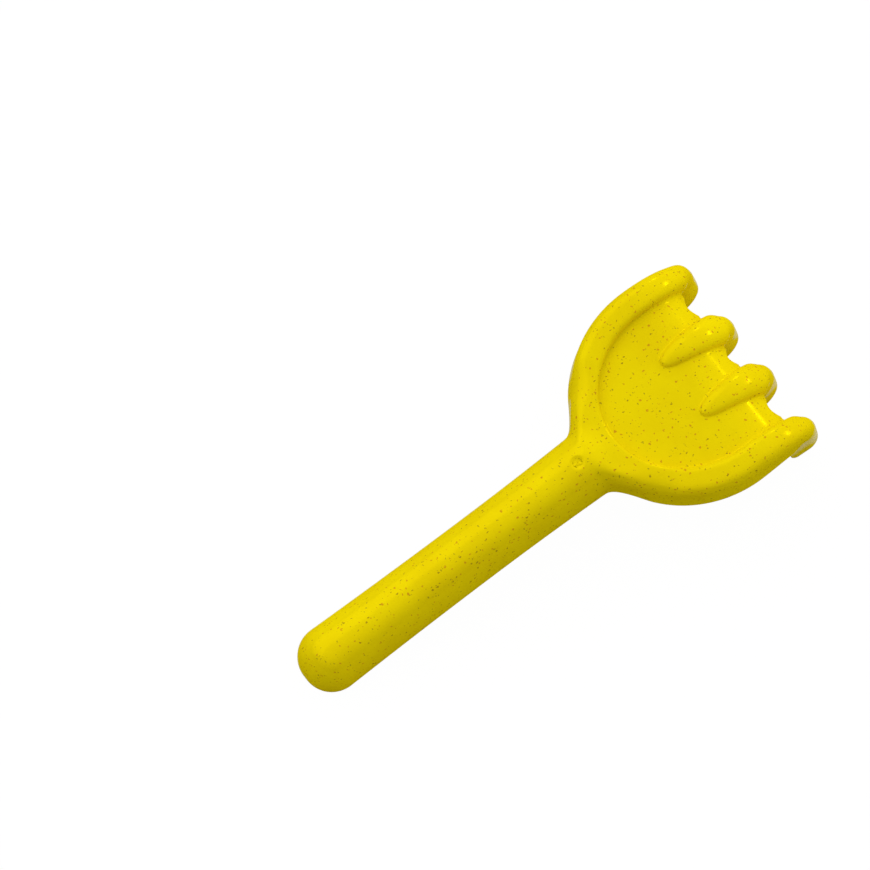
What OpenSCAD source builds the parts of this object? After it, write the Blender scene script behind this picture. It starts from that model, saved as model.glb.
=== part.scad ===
// Toy sand rake, one moulding with an open back, drawn in millimetres.
// X runs from the butt of the grip to the tines, Y is left, Z is up.
// The rake lies as it does on a table: on the butt's lower edge and on its four tine tips.

/* [Wall] */
// Thickness of the moulded wall everywhere
wall = 2.3; // [1.6:0.1:3]

/* [Grip] */
// Length of the grip, from the butt to the neck
grip_len = 109.6; // [90:0.1:130]
// Width of the grip near the butt
butt_w = 25.8; // [24:0.1:30]
// Width of the grip at its waist
waist_w = 23.7; // [18:0.1:28]
// Distance of the waist from the butt
waist_at = 80; // [50:1:85]
// Height of the grip
grip_h = 20.2; // [15:0.1:24]
// Radius of the butt's corners, seen from above
butt_corner_r = 11.9; // [7:0.1:11.9]
// Length over which the grip's top rounds down to the butt
butt_fall = 11; // [6:0.5:14]
// Thickness of a cross rib inside the grip
rib_t = 1.8; // [1.2:0.1:2.6]
// Distance between cross ribs
rib_pitch = 27; // [20:1:28]
// Distance of the first cross rib from the butt
rib_first = 22; // [18:1:26]
// Height of the clear space under each cross rib
rib_rise = 5; // [2:0.5:9]

/* [Neck] */
// Length of the neck, from the grip to the shoulder
neck_len = 22; // [16:1:30]
// Width of the neck
neck_w = 25.4; // [20:0.1:28]
// Height of the neck where the shoulder starts
neck_h = 20.1; // [15:0.1:23]
// Diameter of the gate dimple
gate_d = 5.8; // [3:0.2:9]
// Depth of the gate dimple
gate_depth = 0.7; // [0.3:0.1:1.2]
// Distance of the gate dimple from the grip
gate_at = 17.7; // [8:0.1:18]
// Diameter of the gate's stub
gate_stub_d = 1.2; // [0.8:0.1:2]
// Height of the gate's stub
gate_stub_h = 0.35; // [0.2:0.05:0.6]

/* [Head] */
// Distance from the neck's end to the line where the head starts to curl
head_len = 50.4; // [49:0.1:60]
// Reach of the head's round back behind that line
head_back = 47.3; // [38:0.1:48]
// Half of the head's width
head_half_w = 43.9; // [38:0.1:50]
// Reach of the sunk panel behind the curl line
bowl_back = 36.7; // [26:0.1:37]
// Half of the sunk panel's width
bowl_half_w = 31.9; // [28:0.1:34]
// Height of the rim's top at the back
rim_h = 15.5; // [13:0.1:18]
// Height of the panel's top face
panel_h = 11.9; // [10:0.1:12.5]
// Height of the round part of the rim's outer shoulder
rim_shoulder = 6.5; // [4:0.1:8]
// Lean of the rim's outer wall over its height
rim_lean = 0.7; // [0.2:0.1:1.5]
// Width of the flat ledge between the rim and the panel's edge
ledge = 2.4; // [1.5:0.1:3]

/* [Tines] */
// Radius of the curl, at the panel's top face
curl_r = 24.8; // [20:0.1:27]
// Angle through which the tines curl
curl_turn = 79.3; // [70:0.1:86]
// How far the rim stands above the panel where the curl starts
rim_stand = 4.1; // [2:0.1:5]
// How far the tines stand in front of the panel at the end of the curl
tine_stand = 6.6; // [5:0.1:9]
// How far a tine's sides reach back behind the panel
tine_flank = 4.7; // [1:0.1:5]
// How far the outer tines lean in towards the middle
toe_in = 1.5; // [0:0.1:2]
// Distance of an inner tine from the middle
inner_tine_y = 12; // [11.4:0.1:13]
// Half of an inner tine's width at the knuckle
tine_half_w = 6.8; // [5:0.1:7]
// Half of a tine's width above its tip
tip_half_w = 6; // [4:0.1:6.6]
// Length of the straight part of a tine, below the curl
tine_drop = 24.5; // [12:0.5:27]
// Half of an outer tine's width above its tip
outer_tip_half_w = 6.3; // [4:0.1:6.6]
// Length of a tine's rounded tip
tip_len = 4.5; // [4:0.1:10]
// How far a tine's back edge comes forward from its root to its tip
tip_rise = 2.9; // [0:0.1:4]
// How far an outer tine's outer side leans in at its back edge
back_lean = 0.8; // [0:0.1:2]
// Length of an inner tine's pointed tail, from its point to its full width
tail_len = 29; // [20:0.5:32]
// Distance of the tail's point behind the curl line
tail_back = 5; // [2:0.5:6]
// Half of the strip of panel that an inner tine carries
strip_half_w = 8.2; // [7.4:0.1:9]
// Distance along the curl from its start to the web's edge in mid gap
web_len = 21.2; // [18:0.1:24]
// How much further the web reaches beside a tine's strip
web_rise = 3; // [1:0.1:4]
// Length of the fillet from the web's edge to a tine's side
web_fillet = 3.6; // [2:0.1:5]

/* [Hidden] */

skin_colour = [0.9, 0.8, 0.05];

// Counts of facets
arch_steps = 22;
butt_rows = 7;
quarter_steps = 5;
rim_rows = 14;
back_rows = 8;
shoulder_rows = 7;
strip_rows = 2;
web_rows = 7;
web_cols = 6;
fillet_rows = 3;
straight_rows = 2;
tip_rows = 6;

// Exponents of the rounded outlines, where two gives an ellipse
arch_power_share = 2.2;
fall_power_share = 2.4;
bead_power_share = 2.5;
tine_power_share = 2.3;

// Angle round the head at which the shoulder meets the rim
shoulder_turn = 36.5;
// Last share of a tip's length, within which it counts as closed
last_share = 0.001;
// Exponent of a tail's growth, and size of its first section as a share of the full tine
tail_power_share = 0.35;
tail_share = 0.12;
// Least half width of the hollow in a tail, as a share of the wall
nip_share = 0.05;

// Growth of the tines' stand along the curl
stand_power_share = 1.5;
// Reach of the shoulder's blend at its two ends
blend_share = 0.74;

neck_x = grip_len + neck_len;
head_x = neck_x + head_len;
curl_z = panel_h - curl_r;
curl_len = curl_r * PI * curl_turn / 180;
under_r = curl_r - wall;
flank_r = under_r - tine_flank;
tip_r = flank_r + tip_rise;
strip_back = tail_back + ledge;
tip_end = curl_len + tine_drop;
tip_start = tip_end - tip_len;
web_end = web_len + web_rise;
fillet_end = web_end + web_fillet;
outer_tine_y = (head_half_w + bowl_half_w) / 2;
outer_tine_half = (head_half_w - bowl_half_w) / 2;

function mix(a, b, f) = a + (b - a) * f;
function limit(v, low, high) = max(low, min(high, v));
function ease(f) = f * f * (3 - 2 * f);
// Sine or cosine bent towards a fuller outline
function full(v, power) = sign(v) * pow(abs(v), 2 / power);

// Closed skin between two grids of points with the same rows and columns. A grid whose rows run
// the other way round is turned, so that its faces look outwards too.
module skin(outer, inner, turned = false) {
    n = len(outer);
    m = len(outer[0]);
    k = n * m;
    points = [for (row = outer) each row, for (row = inner) each row];
    faces = [
        for (i = [0 : n - 2], j = [0 : m - 2]) each
            let (a = i * m + j, b = a + 1, c = a + m, d = c + 1)
            [[a, b, d], [a, d, c], [a + k, d + k, b + k], [a + k, c + k, d + k]],
        for (j = [0 : m - 2]) each
            let (a = j, b = j + 1, c = (n - 1) * m + j, d = c + 1)
            [[a, a + k, b + k], [a, b + k, b], [c, d + k, c + k], [c, d, d + k]],
        for (i = [0 : n - 2]) each
            let (a = i * m, b = a + m, c = a + m - 1, d = c + m)
            [[a, b, b + k], [a, b + k, a + k], [c, c + k, d + k], [c, d + k, d]]
    ];
    polyhedron(points, turned ? [for (f = faces) [f[0], f[2], f[1]]] : faces, convexity = 10);
}

// The rake lies on its butt and its tips
module at_rest() {
    color(skin_colour) rotate([0, -rest_tilt, 0]) children();
}

module mirrored() {
    mirror([0, 1, 0]) children();
}

// Outline of the grip and neck, seen from above
function grip_half_w(x) = x < waist_at
    ? mix(waist_w, butt_w, pow((waist_at - x) / waist_at, 2)) / 2
    : mix(waist_w, neck_w, pow((x - waist_at) / (neck_x - waist_at), 2)) / 2;
function grip_top(x) = x < grip_len ? grip_h : mix(grip_h, neck_h, ease((x - grip_len) / neck_len));

// Arch across the grip at one place, with its own half width and height
function arch(x, half_w, h) = [for (j = [0 : arch_steps])
    let (turn = 180 * j / arch_steps)
    [x, half_w * full(cos(turn), arch_power_share), h * full(sin(turn), arch_power_share)]];

// Arch near the butt, inset by the wall for the inside
function butt_arch(f, inset) =
    let (reach = butt_corner_r - inset, x = inset + reach * (1 - cos(90 * f)),
        back = limit((inset + reach - x) / reach, 0, 1),
        fall = limit((butt_fall - x) / (butt_fall - inset), 0, 1),
        half_w = grip_half_w(x) - inset - reach * (1 - sqrt(1 - back * back)),
        h = (grip_top(x) - inset) * pow(1 - pow(fall, fall_power_share), 1 / fall_power_share))
    arch(x, half_w, max(h, 0));

function grip_arch(x, inset) = arch(x, grip_half_w(x) - inset, grip_top(x) - inset);

rib_count = floor((grip_len - rib_first - rib_t) / rib_pitch) + 1;
rib_places = [for (i = [0 : rib_count - 1]) rib_first + i * rib_pitch];
grip_places = [
    for (p = rib_places) each [p, p + rib_t],
    grip_len
];

module grip() {
    at_rest() skin(
        [for (i = [0 : butt_rows]) butt_arch(i / butt_rows, 0),
            for (x = grip_places) grip_arch(x, 0)],
        [for (i = [0 : butt_rows]) butt_arch(i / butt_rows, wall),
            for (x = grip_places) grip_arch(x, wall)],
        true);
}

// Cross rib that fills the arch from its clear space upwards
module cross_rib(x) {
    intersection() {
        polyhedron(
            [each grip_arch(x, wall), each grip_arch(x + rib_t, wall)],
            [
                [for (j = [0 : arch_steps]) j],
                [for (j = [0 : arch_steps]) 2 * arch_steps + 1 - j],
                for (j = [0 : arch_steps - 1]) each
                    let (c = j + arch_steps + 1)
                    [[j, c + 1, j + 1], [j, c, c + 1]],
                [arch_steps, arch_steps + 1, 0],
                [arch_steps, 2 * arch_steps + 1, arch_steps + 1]
            ]);
        translate([0, -butt_w, rib_rise]) cube([neck_x, 2 * butt_w, grip_h]);
    }
}

module grip_ribs() {
    at_rest() for (x = rib_places) cross_rib(x);
}

gate_x = grip_len + gate_at;
gate_r = (pow(gate_d / 2, 2) + pow(gate_depth, 2)) / (2 * gate_depth);
neck_places = [for (i = [0 : strip_rows + 1]) grip_len + neck_len * i / (strip_rows + 1)];

module neck() {
    at_rest() difference() {
        skin([for (x = neck_places) grip_arch(x, 0)],
            [for (x = neck_places) grip_arch(x, wall)], true);
        translate([gate_x, 0, grip_top(gate_x) + gate_r - gate_depth]) sphere(r = gate_r, $fn = 96);
    }
}

module gate_stub() {
    at_rest() translate([gate_x, 0, grip_top(gate_x) - gate_depth])
        cylinder(d = gate_stub_d, h = gate_stub_h, $fn = 24);
}

// One quarter of a bead's round top, from its side to its crown
function quarter(side, low, mid, top, power) = [for (j = [0 : quarter_steps])
    let (turn = 90 * j / quarter_steps)
    [mix(mid, side, full(cos(turn), power)), mix(low, top, full(sin(turn), power))]];

// Section of the rim from its inner ledge to its outer base, as distance out and height
function rim_section(ledge_q, crease, mid, out, low, top, shoulder, base, lean) =
    let (left = quarter(crease, low, mid, top, bead_power_share),
        right = quarter(out - lean, shoulder, mid, top, bead_power_share))
    [[ledge_q, low], each left, for (j = [1 : quarter_steps]) right[quarter_steps - j], [out, base]];

// Height of the rim's crown round the head, from its back to the curl line
function crown(turn) = mix(rim_h, panel_h + rim_stand, ease(limit(turn / 90, 0, 1)));

// Place on the head's plan at one angle, q along the line from the panel to the outer wall
function head_point(turn, q, z) =
    let (f = (q - bowl_half_w) / (head_half_w - bowl_half_w))
    [head_x - mix(bowl_back, head_back, f) * cos(turn), q * sin(turn), z];

function rim_section_out(turn) =
    let (top = crown(abs(turn)))
    [for (p = rim_section(bowl_half_w - ledge, bowl_half_w, outer_tine_y, head_half_w,
        panel_h, top, top - rim_shoulder, 0, rim_lean)) head_point(turn, p[0], p[1])];

function rim_section_in(turn) =
    let (top = crown(abs(turn)))
    [for (p = rim_section(bowl_half_w - ledge, bowl_half_w + wall, outer_tine_y, head_half_w - wall,
        panel_h - wall, top - wall, top - rim_shoulder, 0, rim_lean)) head_point(turn, p[0], p[1])];

function part_of(list, first, last) = [for (j = [first : last]) list[j]];

rim_turns = [for (i = [0 : rim_rows]) mix(shoulder_turn, 90, i / rim_rows)];
back_turns = [for (i = [0 : back_rows]) mix(shoulder_turn, -shoulder_turn, i / back_rows)];
crown_at = quarter_steps + 1;
base_at = 2 * quarter_steps + 2;

module rim_left() {
    at_rest() skin([for (t = rim_turns) rim_section_out(t)], [for (t = rim_turns) rim_section_in(t)]);
}

module rim_right() {
    at_rest() mirrored()
        skin([for (t = rim_turns) rim_section_out(t)], [for (t = rim_turns) rim_section_in(t)]);
}

module rim_back() {
    at_rest() mirrored() skin(
        [for (t = back_turns) part_of(rim_section_out(t), 0, crown_at)],
        [for (t = back_turns) part_of(rim_section_in(t), 0, crown_at)],
        true);
}

// The line that the shoulder runs to: up the rim's outer wall, along its crown and down again
function shoulder_target(side, back) =
    let (half = part_of(side, crown_at, base_at))
    [
        for (j = [0 : quarter_steps + 1]) half[quarter_steps + 1 - j],
        for (i = [1 : back_rows - 1]) back[i],
        for (j = [0 : quarter_steps + 1]) [half[j][0], -half[j][1], half[j][2]]
    ];

shoulder_cols = 2 * (quarter_steps + 1) + back_rows;

// The neck's end, with as many points as the target line
function neck_end(inset) = [for (j = [0 : shoulder_cols])
    let (turn = 180 * j / shoulder_cols)
    [neck_x, (grip_half_w(neck_x) - inset) * full(cos(turn), arch_power_share),
        (grip_top(neck_x) - inset) * full(sin(turn), arch_power_share)]];

// Direction in which the shoulder meets the target line, from along the rim to across it
function meet_way(j) =
    let (wallside = quarter_steps + 1, side = j <= shoulder_cols / 2 ? 1 : -1,
        f = limit((j <= shoulder_cols / 2 ? j : shoulder_cols - j) / wallside, 0, 1),
        along = [head_back * sin(shoulder_turn), side * head_half_w * cos(shoulder_turn), 0],
        i = limit(j - wallside, 0, back_rows),
        turn = mix(shoulder_turn, -shoulder_turn, i / back_rows),
        across = [head_back * cos(turn), -head_half_w * sin(turn), 0],
        way = mix(along / norm(along), across / norm(across), ease(f)))
    way / norm(way);

// Smooth path from one point and direction to another
function blend(a, a_way, b, b_way, f) =
    let (reach = norm(b - a) * blend_share)
    a * (2 * f * f * f - 3 * f * f + 1) + a_way * reach * (f * f * f - 2 * f * f + f)
    + b * (3 * f * f - 2 * f * f * f) + b_way * reach * (f * f * f - f * f);

function shoulder_grid(from, to) = [for (i = [0 : shoulder_rows])
    [for (j = [0 : shoulder_cols]) blend(from[j], [1, 0, 0], to[j], meet_way(j), i / shoulder_rows)]];

module shoulder() {
    out_line = shoulder_target(rim_section_out(shoulder_turn),
        [for (t = back_turns) rim_section_out(t)[crown_at]]);
    in_line = shoulder_target(rim_section_in(shoulder_turn),
        [for (t = back_turns) rim_section_in(t)[crown_at]]);
    at_rest()
        skin(shoulder_grid(neck_end(0), out_line), shoulder_grid(neck_end(wall), in_line), true);
}

// Flat part of the panel, notched where the inner tines' strips start
module panel() {
    ledge_q = bowl_half_w - ledge;
    left_edge = [for (i = [0 : rim_rows]) head_point(rim_turns[rim_rows - i], ledge_q, 0)];
    back_edge = [for (i = [1 : back_rows - 1]) head_point(back_turns[i], ledge_q, 0)];
    right_edge = [for (i = [0 : rim_rows]) head_point(-rim_turns[i], ledge_q, 0)];
    notch = [
        [head_x, inner_tine_y + strip_half_w], [head_x - strip_back, inner_tine_y + strip_half_w],
        [head_x - strip_back, inner_tine_y - strip_half_w], [head_x, inner_tine_y - strip_half_w]
    ];
    outline = [
        for (p = left_edge) [p[0], p[1]],
        for (p = back_edge) [p[0], p[1]],
        for (p = right_edge) [p[0], p[1]],
        for (i = [0 : 3]) [notch[i][0], -notch[i][1]],
        for (i = [0 : 3]) notch[3 - i]
    ];
    at_rest() translate([0, 0, panel_h - wall]) linear_extrude(wall) polygon(outline);
}

// Angle of the curl reached at u
function curl_at(u) = limit(u / curl_len, 0, 1) * curl_turn;
// Place on the curl: u along the panel's top face from the curl line, r from the curl's centre
function curl_point(u, y, r) =
    let (turn = curl_at(u), before = min(u, 0), after = max(u - curl_len, 0))
    [head_x + before + r * sin(turn) + after * cos(turn), y, curl_z + r * cos(turn) - after * sin(turn)];

// Shrinking of a tine towards its tip
function tip_size(u) =
    let (t = limit((u - tip_start) / tip_len, 0, 1))
    t > 1 - last_share ? 0 : sqrt(1 - t * t);
// Place along the inside of a tip, which ends a wall short of the outside
function inner_u(u) = u < tip_start ? u : mix(tip_start, tip_end - wall, (u - tip_start) / tip_len);

function stand_r(u) = curl_r
    + mix(rim_stand, tine_stand, pow(limit(u / curl_len, 0, 1), stand_power_share));
function half_w(u, widest, narrow) =
    mix(widest, narrow, ease(limit((u - web_len) / (tip_start - web_len), 0, 1)));
// Half width of a tine with the fillet that joins it to the web's edge
function root_half_w(u, w) = u < web_end ? strip_half_w
    : u > fillet_end ? w : mix(strip_half_w, w, sin(90 * (u - web_end) / web_fillet));

// Stations along a tine, shared by the webs as far as they reach
web_us = [for (i = [0 : web_rows]) web_end * i / web_rows];
free_us = [
    for (i = [1 : fillet_rows]) web_end + web_fillet * i / fillet_rows,
    for (i = [1 : straight_rows]) mix(fillet_end, tip_start, i / straight_rows),
    for (i = [1 : tip_rows]) tip_start + tip_len * sin(90 * i / tip_rows)
];
strip_us = [for (i = [0 : strip_rows - 1]) -strip_back * (1 - i / strip_rows)];

// An inner tine's tail, as shares of its full width and stand
function tail_size(u) =
    max(pow(limit((u + tail_back) / tail_len, 0, 1), tail_power_share), tail_share);

function inner_tine_section(u, inside) =
    let (size = tip_size(u), tail = tail_size(u), w = half_w(u, tine_half_w, tip_half_w) * tail,
        hollow = limit((w - wall) / (tip_half_w - wall), 0, 1),
        stand = (stand_r(u) - curl_r) * tail,
        crease = mix(tip_r, flank(u, curl_r), size), low = mix(tip_r, flank(u, under_r), size),
        top = mix(tip_r, curl_r + stand, size), edge = root_half_w(u, w) * size,
        in_w = max(w - wall, wall * nip_share) * size,
        in_top = mix(low, mix(tip_r, curl_r + stand - wall, size), hollow),
        side = inside ? in_w : w * size, foot = inside ? low : crease, head = inside ? in_top : top,
        at = inside ? inner_u(u) : u,
        arc = quarter(side, foot, 0, head, tine_power_share))
    [
        curl_point(at, inner_tine_y + edge, foot),
        for (j = [0 : quarter_steps]) curl_point(at, inner_tine_y + arc[j][0], arc[j][1]),
        for (j = [1 : quarter_steps])
            let (p = arc[quarter_steps - j]) curl_point(at, inner_tine_y - p[0], p[1]),
        curl_point(at, inner_tine_y - edge, foot)
    ];

module inner_tine() {
    us = [each strip_us, each web_us, each free_us];
    skin([for (u = us) inner_tine_section(u, false)],
        [for (u = us) inner_tine_section(u, true)], true);
}

module inner_tine_left() {
    at_rest() inner_tine();
}

module inner_tine_right() {
    at_rest() mirrored() inner_tine();
}

// Line of a tine's back edge, which comes forward to its tip, carried on straight up to the curl
function back_r(u) =
    let (f = limit((u - fillet_end) / (tip_end - fillet_end), 0, 1))
    (flank_r + tip_rise * f * f) / cos(curl_turn - curl_at(u));
// Reach of a tine's side towards the curl's centre, from the web's face at its root to the back edge
function flank(u, web_r) = mix(web_r, back_r(u), ease(limit((u - web_end) / web_fillet, 0, 1)));
// Lower edge of the outer wall: level with the table side of the grip, then down the tine's back edge
function skirt_r(u) = min(-curl_z / cos(curl_at(u)), back_r(u));
// Middle of an outer tine, which leans in towards its tip
function outer_mid(u) = outer_tine_y - toe_in * ease(limit(u / tip_start, 0, 1));

function outer_tine_section(u, inside) =
    let (size = tip_size(u), w = half_w(u, outer_tine_half, outer_tip_half_w), mid = outer_mid(u),
        top = mix(tip_r, stand_r(u), size), base = mix(tip_r, skirt_r(u), size),
        foot = mix(tip_r, flank(u, curl_r), size), under = mix(tip_r, flank(u, under_r), size),
        lean_in = back_lean * ease(limit((u - web_end) / web_fillet, 0, 1)),
        inner_q = mid - w * size, outer_q = mid + (w - lean_in) * size,
        ledge_w = u < web_end ? mid - bowl_half_w + ledge
            : mix(mid - bowl_half_w + ledge, w, sin(90 * limit((u - web_end) / web_fillet, 0, 1))),
        ledge_q = mid - ledge_w * size,
        shoulder = mix(tip_r, max(stand_r(u) - rim_shoulder, under_r), size),
        at = inside ? inner_u(u) : u, t = wall * size, lean = (rim_lean - lean_in) * size,
        section = inside
            ? rim_section(ledge_q, inner_q + t, mid, outer_q - t, under, top - t, shoulder, base, lean)
            : rim_section(ledge_q, inner_q, mid, outer_q, foot, top, shoulder, base, lean))
    [for (p = section) curl_point(at, p[0], p[1])];

module outer_tine() {
    us = [each web_us, each free_us];
    skin([for (u = us) outer_tine_section(u, false)], [for (u = us) outer_tine_section(u, true)]);
}

module outer_tine_left() {
    at_rest() outer_tine();
}

module outer_tine_right() {
    at_rest() mirrored() outer_tine();
}

// Curled web between two tines, with a hollow front edge
module web(low_y, high_y) {
    function reach(y) = web_len + web_rise * pow((2 * y - low_y - high_y) / (high_y - low_y), 2);
    function row(i, r) = [for (j = [0 : web_cols])
        let (y = mix(high_y, low_y, j / web_cols)) curl_point(reach(y) * i / web_rows, y, r)];
    skin([for (i = [0 : web_rows]) row(i, curl_r)],
        [for (i = [0 : web_rows]) row(i, under_r)], true);
}

web_gap_y = inner_tine_y + strip_half_w;

// The steepest line from the butt's edge to a tine's tip lies on the table
rest_tilt = max([for (u = free_us, p = inner_tine_section(u, false)) atan2(-p[2], p[0])]);

module web_left() {
    at_rest() web(web_gap_y, bowl_half_w - ledge);
}

module web_middle() {
    at_rest() web(strip_half_w - inner_tine_y, inner_tine_y - strip_half_w);
}

module web_right() {
    at_rest() mirrored() web(web_gap_y, bowl_half_w - ledge);
}

grip();
grip_ribs();
neck();
gate_stub();
shoulder();
rim_back();
rim_left();
rim_right();
panel();
web_left();
web_middle();
web_right();
outer_tine_left();
inner_tine_left();
inner_tine_right();
outer_tine_right();
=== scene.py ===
"""Toy sand rake: the moulded shell, its ribs and the gate's pip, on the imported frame."""

import math

import bmesh
import bpy
import numpy as np
from mathutils import Matrix, Vector
from mathutils.geometry import delaunay_2d_cdt


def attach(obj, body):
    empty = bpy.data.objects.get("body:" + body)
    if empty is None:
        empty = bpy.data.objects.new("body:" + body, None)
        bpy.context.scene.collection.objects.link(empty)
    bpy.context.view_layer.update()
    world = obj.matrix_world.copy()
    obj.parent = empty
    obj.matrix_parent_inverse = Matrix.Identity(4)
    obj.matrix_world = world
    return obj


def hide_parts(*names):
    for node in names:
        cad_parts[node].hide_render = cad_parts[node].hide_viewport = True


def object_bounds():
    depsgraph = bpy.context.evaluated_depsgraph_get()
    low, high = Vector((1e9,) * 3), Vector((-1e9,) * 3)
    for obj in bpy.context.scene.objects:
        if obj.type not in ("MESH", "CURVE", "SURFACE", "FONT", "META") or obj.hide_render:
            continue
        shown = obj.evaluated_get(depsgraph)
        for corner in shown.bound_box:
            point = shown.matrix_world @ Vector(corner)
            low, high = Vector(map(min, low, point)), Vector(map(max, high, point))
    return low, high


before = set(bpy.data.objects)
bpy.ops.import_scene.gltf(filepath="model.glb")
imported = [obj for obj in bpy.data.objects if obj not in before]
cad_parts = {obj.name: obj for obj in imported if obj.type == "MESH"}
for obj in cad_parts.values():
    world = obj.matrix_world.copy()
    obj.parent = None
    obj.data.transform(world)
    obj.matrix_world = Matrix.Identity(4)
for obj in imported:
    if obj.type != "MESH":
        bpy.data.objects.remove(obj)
cad_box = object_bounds()

# Sizes of the moulding in millimetres and its turns in degrees, as in the part's source
WALL = 2.3
GRIP_LEN, BUTT_W, WAIST_W, WAIST_AT, GRIP_H = 109.6, 25.8, 23.7, 80.0, 20.2
BUTT_CORNER_R, BUTT_FALL = 11.9, 11.0
RIB_T, RIB_PITCH, RIB_FIRST, RIB_RISE, RIB_COUNT = 1.8, 27.0, 22.0, 5.0, 4
NECK_LEN, NECK_W, NECK_H = 22.0, 25.4, 20.1
GATE_D, GATE_AT = 5.8, 17.7
HEAD_LEN, HEAD_BACK, HEAD_HALF_W = 50.4, 47.3, 43.9
BOWL_BACK, BOWL_HALF_W = 36.7, 31.9
RIM_H, PANEL_H, RIM_SHOULDER, RIM_LEAN, LEDGE = 15.5, 11.9, 6.5, 0.7, 2.4
CURL_R, CURL_TURN, RIM_STAND, TINE_STAND = 24.8, 79.3, 4.1, 6.6
INNER_TINE_Y, TINE_HALF_W, TIP_HALF_W = 12.0, 6.8, 6.0
TINE_DROP, TIP_LEN, TAIL_LEN, TAIL_BACK = 24.5, 4.5, 29.0, 5.0
STRIP_HALF_W, WEB_LEN, WEB_RISE, WEB_FILLET = 8.2, 21.2, 3.0, 3.6
SHOULDER_TURN, BLEND = 36.5, 0.74
ARCH_POWER, FALL_POWER, BEAD_POWER = 2.2, 2.4, 2.5
TINE_POWER, STAND_POWER, TAIL_POWER = 2.3, 1.5, 0.35
REST_TILT = 9.09797

# Sizes that are set finer here than in the source
GATE_DEPTH = 1.1
TINE_FLANK, TOE_IN, OUTER_TIP_HALF_W = 5.8, 1.2, 5.9
TIP_RISE, BACK_LEAN, BACK_ROUND = 7.0, 1.2, 15.0
BULGE, BULGE_AT, BULGE_W = 0.8, 27.5, 3.4
RIM_POWER, IN_POWER, TIP_POWER = 2.9, 4.5, 2.2

# Degrees over which the rim's crown turns into a bead, and millimetres for the tine's section
BEAD_FROM, BEAD_OVER = 50, 40
FREE_OVER, ROOT_OVER = 12, 20

# Places that follow from the sizes
NECK_X = GRIP_LEN + NECK_LEN
HEAD_X = NECK_X + HEAD_LEN
GATE_X = GRIP_LEN + GATE_AT
CURL_Z = PANEL_H - CURL_R
CURL_LEN = CURL_R * math.radians(CURL_TURN)
FLANK_R = CURL_R - WALL - TINE_FLANK
TIP_R = FLANK_R + TIP_RISE
TIP_END = CURL_LEN + TINE_DROP
TIP_START = TIP_END - TIP_LEN
WEB_END = WEB_LEN + WEB_RISE
FILLET_END = WEB_END + WEB_FILLET
OUTER_TINE_Y = (HEAD_HALF_W + BOWL_HALF_W) / 2
OUTER_TINE_HALF = (HEAD_HALF_W - BOWL_HALF_W) / 2

# Rounded free edges, and spread of the fillets in the creases, wider at the rim's back
LIP = 0.35
LIP_TURNS = [math.pi / 8 * k for k in range(5)]
CREASE_SPREAD, BACK_SPREAD, BACK_TURN = 0.35, 0.8, 60

# Ridge that runs on from the neck between two valleys, kept off the walls below its floor
RIDGE, VALLEY, VALLEY_X, VALLEY_Y, VALLEY_W, RIDGE_FLOOR = 0.4, 0.9, 137.0, 9.5, 5.5, 8

# Softness of the dimple's edge, and the height under which nothing is dimpled
BOWL_SOFT, GATE_FLOOR = 0.08, 15

# Smoothing of the seam from shoulder to rim, of the throat by the neck and of the tines' roots
CREASE_KEEP, CREASE_FADE = 1.5, 3
SEAM_REACH, SEAM_PULL, SEAM_ROUNDS = 11, 0.5, 200
THROAT_AHEAD, THROAT_R, THROAT_PULL, THROAT_ROUNDS = 8, 17, 0.6, 60
ROOT_AHEAD, ROOT_REACH, ROOT_PULL, ROOT_ROUNDS = 18, 14, 0.35, 2
INNER_PULL, INNER_WAY_ROUNDS, INNER_ROUNDS = 0.5, 6, 4

# Ribs are sunk a little into the wall, and the pip is a rough disc of lumps
RIB_COLS, RIB_SINK = 48, 0.25
RIB_INSET = WALL - RIB_SINK
PIP_R, PIP_RINGS, PIP_COLS = 2.3, 18, 64
PIP_HEIGHT, PIP_SKIN, PIP_EDGE_SINK, LUMP_SPREAD = 0.42, 0.02, 0.06, 0.1
PIP_MIDDLE_RISE, PIP_MIDDLE_SINK = 0.1, 0.3
PIP_LUMPS = ((-1.7, 0.1), (-1.05, -0.2), (-0.35, -0.6), (0.35, -0.85), (0.95, -1.05), (0.1, 0.15))

# Counts of steps, rows and columns in the shell's sheets
ARCH_STEPS, SIDE_STEPS = 20, 6
BACK_STEPS = ARCH_STEPS - 2 * SIDE_STEPS
SIDE_COLS, SIDE_CROWDING, BACK_ROWS, LEDGE_COLS = 22, 1.5, 52, 14
BUTT_ROWS, GRIP_ROWS, GATE_ROWS, GATE_REACH = 30, 80, 20, 4.3
RIM_ROWS, SHOULDER_ROWS, QUARTER_STEPS, CREASE_POINTS = 54, 20, 32, 181
TINE_COLS, LEDGE_ROWS, TAIL_ROWS = 52, 3, 14
STRIP_ROWS = LEDGE_ROWS + TAIL_ROWS
WEB_ROWS, WEB_COLS_SIDE, WEB_COLS_MIDDLE = 30, 11, 9
FILLET_ROWS, STRAIGHT_ROWS, TIP_ROWS = 8, 28, 14
PANEL_STEP, PANEL_CLEAR = 1.25, 0.8

# Finest steps in millimetres, and the metres over which the box's limit draws points in
FINE_STEP, FINE_COUNT = 0.12, 60
WELD_DIST, TINY_EDGE = 0.004, 0.0005
TIP_CLOSED = 0.9999
DRAW_IN = 0.003
MIRROR = np.array((1, -1, 1))


def mix(a, b, f):
    return a + (b - a) * f


def limit(v, low, high):
    return max(low, min(high, v))


def ease(f):
    return f * f * (3 - 2 * f)


def eased(v, start, length):
    """Share from nought to one that grows gently over a length from its start."""
    return ease(limit((v - start) / length, 0, 1))


def full(v, power):
    """Sine or cosine bent towards a fuller outline."""
    return math.copysign(abs(v) ** (2 / power), v)


def unit(v):
    return v / np.linalg.norm(v)


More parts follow.
